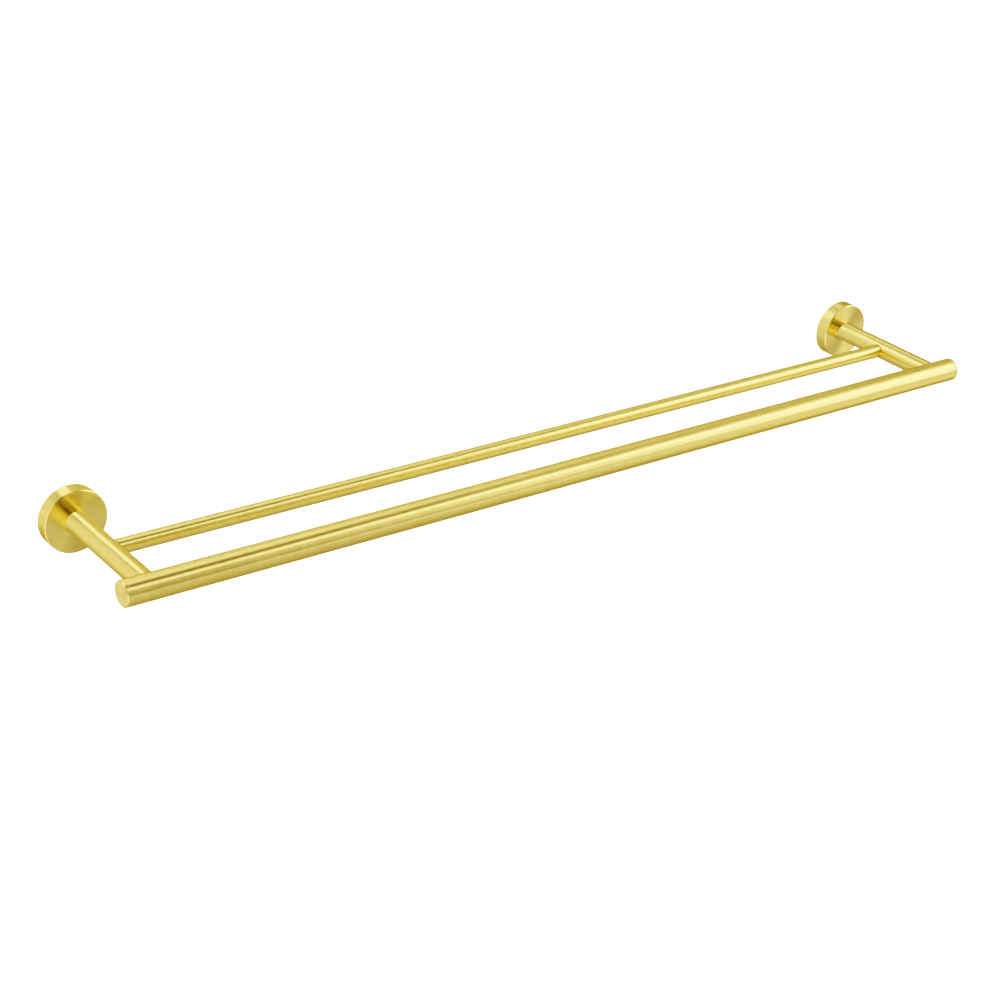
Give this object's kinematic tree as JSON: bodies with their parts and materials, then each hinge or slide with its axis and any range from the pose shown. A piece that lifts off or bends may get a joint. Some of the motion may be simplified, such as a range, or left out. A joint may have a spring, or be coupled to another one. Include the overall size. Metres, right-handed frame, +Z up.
{
  "type": "double towel rack",
  "caption": "Wall-mounted double towel rack in brushed gold: a round front rail on two posts, a thinner inner rail between the posts, and a round rose over a wall bracket at each post.",
  "frame": {"origin": "on the wall, midway between the two wall brackets, at the height of the rails", "axes": "+X along the rails (to the right as seen from the room), +Y into the wall, +Z up"},
  "size_m": [0.826, 0.132, 0.05],
  "materials": {
    "brushed_gold_rail": "brushed gold, satin, fine marks round the rail",
    "brushed_gold_inner_rail": "brushed gold, satin, fine marks round the rail",
    "brushed_gold_post": "brushed gold, satin, fine marks round the post",
    "brushed_gold_rose": "brushed gold, turned, marks in circles on the face",
    "brushed_gold_end_cap": "brushed gold, turned, marks in circles on the end",
    "machined_brass": "plain machined brass, unplated",
    "bracket_steel": "turned stainless steel",
    "screw_steel": "plain stainless steel",
    "set_screw_steel": "plain stainless steel"
  },
  "bodies": {
    "rack": {"front_rail": "brushed_gold_rail", "inner_rail": "brushed_gold_inner_rail", "left_wall_bracket": "bracket_steel", "left_rose": "brushed_gold_rose", "left_post": "brushed_gold_post", "left_post_base_plug": "machined_brass", "left_post_screw": "screw_steel", "left_post_nose_plug": "machined_brass", "left_rail_screw": "screw_steel", "left_rail_end_cap": "brushed_gold_end_cap", "left_inner_rail_spigot": "machined_brass", "right_wall_bracket": "bracket_steel", "right_rose": "brushed_gold_rose", "right_post": "brushed_gold_post", "right_post_base_plug": "machined_brass", "right_post_screw": "screw_steel", "right_post_nose_plug": "machined_brass", "right_rail_screw": "screw_steel", "right_rail_end_cap": "brushed_gold_end_cap", "right_inner_rail_spigot": "machined_brass"},
    "left_set_screw": {"left_rose_set_screw": "set_screw_steel"},
    "right_set_screw": {"right_rose_set_screw": "set_screw_steel"}
  },
  "joints": [
    {"name": "left_set_screw_travel", "type": "slide", "parent": "rack", "child": "left_set_screw", "axis": [0, 0, -1], "range_m": [0, 0.0024]},
    {"name": "right_set_screw_travel", "type": "slide", "parent": "rack", "child": "right_set_screw", "axis": [0, 0, -1], "range_m": [0, 0.0024]}
  ]
}
